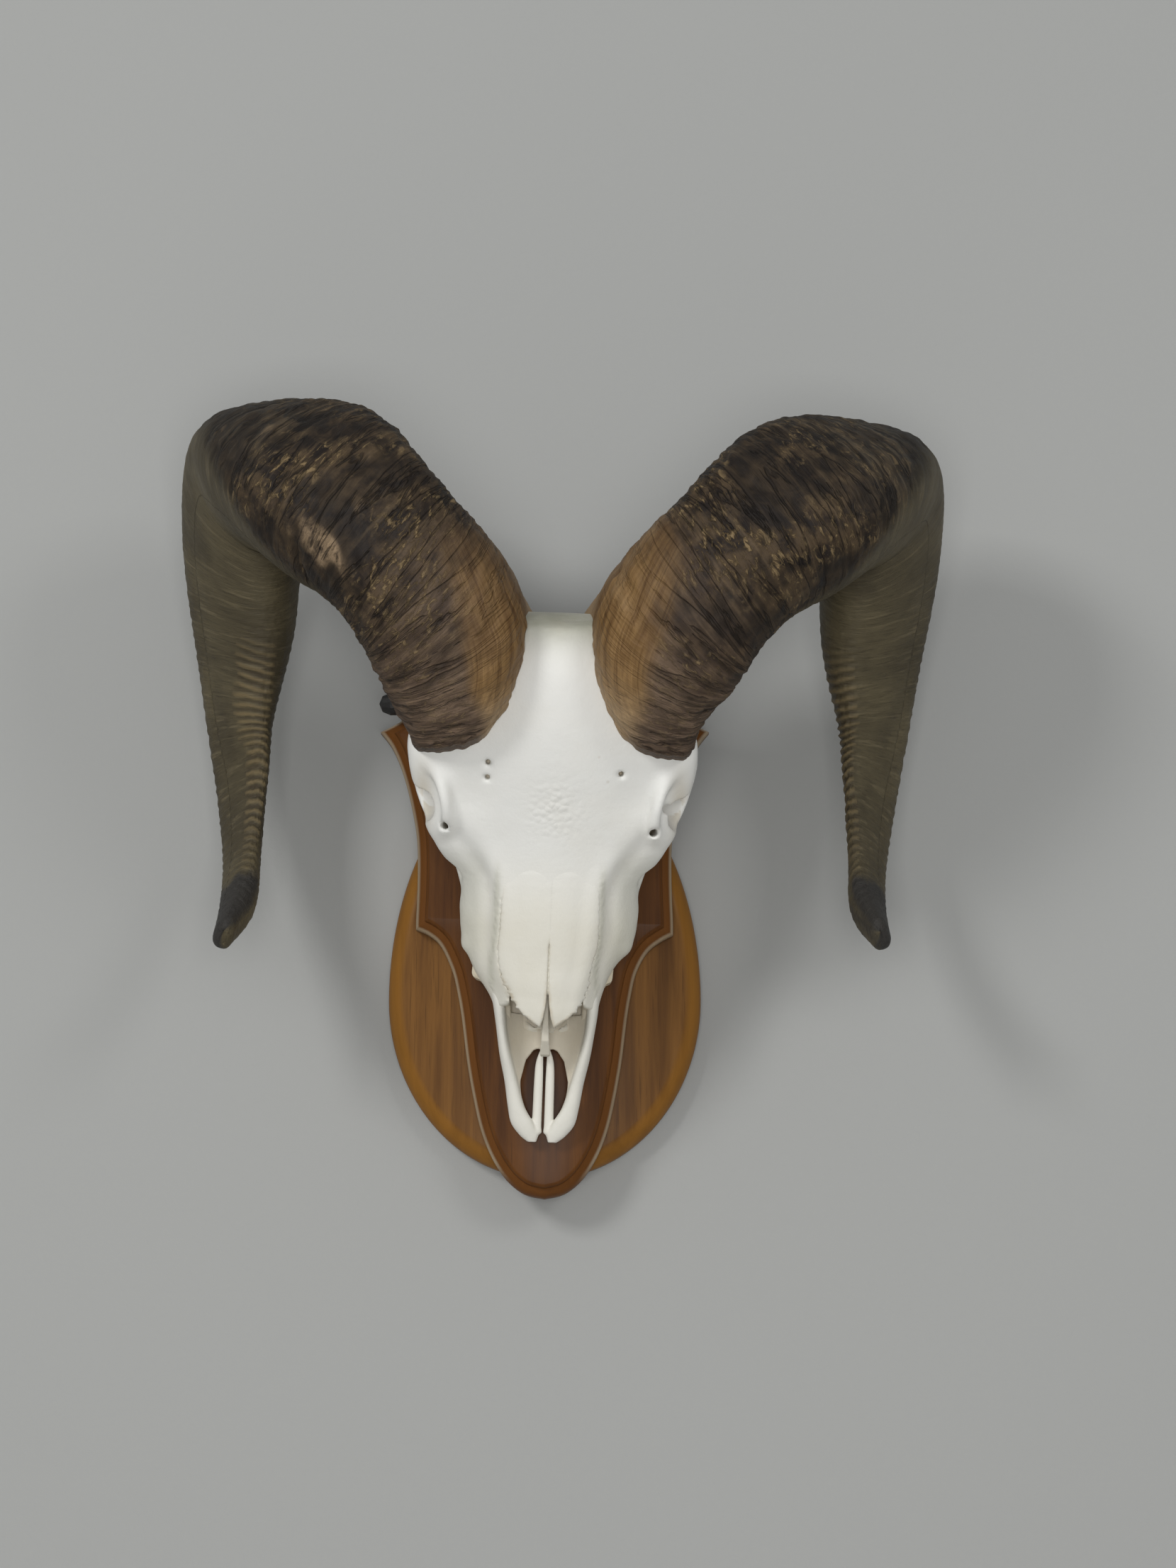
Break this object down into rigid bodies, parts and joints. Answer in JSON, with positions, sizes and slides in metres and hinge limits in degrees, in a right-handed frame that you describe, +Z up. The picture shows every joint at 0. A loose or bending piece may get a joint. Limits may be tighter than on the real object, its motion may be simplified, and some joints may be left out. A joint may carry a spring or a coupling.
{
  "type": "mounted bighorn ram skull",
  "caption": "Horned ram skull without a lower jaw, hung flat on a two-layer shaped wooden wall plaque.",
  "frame": {"origin": "middle of the back board's back face, on the wall", "axes": "+X to the viewer's right, +Y into the wall, +Z up"},
  "size_m": [0.359, 0.2162, 0.3648],
  "materials": {
    "bone": "whitened matte bone",
    "horn": "ridged keratin, dry and cracked",
    "back_board": "satin lacquered walnut",
    "front_board": "satin lacquered walnut, darker",
    "steel": "black paint"
  },
  "bodies": {
    "root": {"plaque_back": "back_board", "plaque_front": "front_board", "bracket": "steel", "cranium": "bone", "orbit_left": "bone", "orbit_right": "bone", "maxilla_left": "bone", "maxilla_right": "bone", "nasal_left": "bone", "nasal_right": "bone", "premaxilla_left": "bone", "premaxilla_right": "bone", "vomer": "bone", "horn_left": "horn", "horn_right": "horn"}
  },
  "joints": []
}
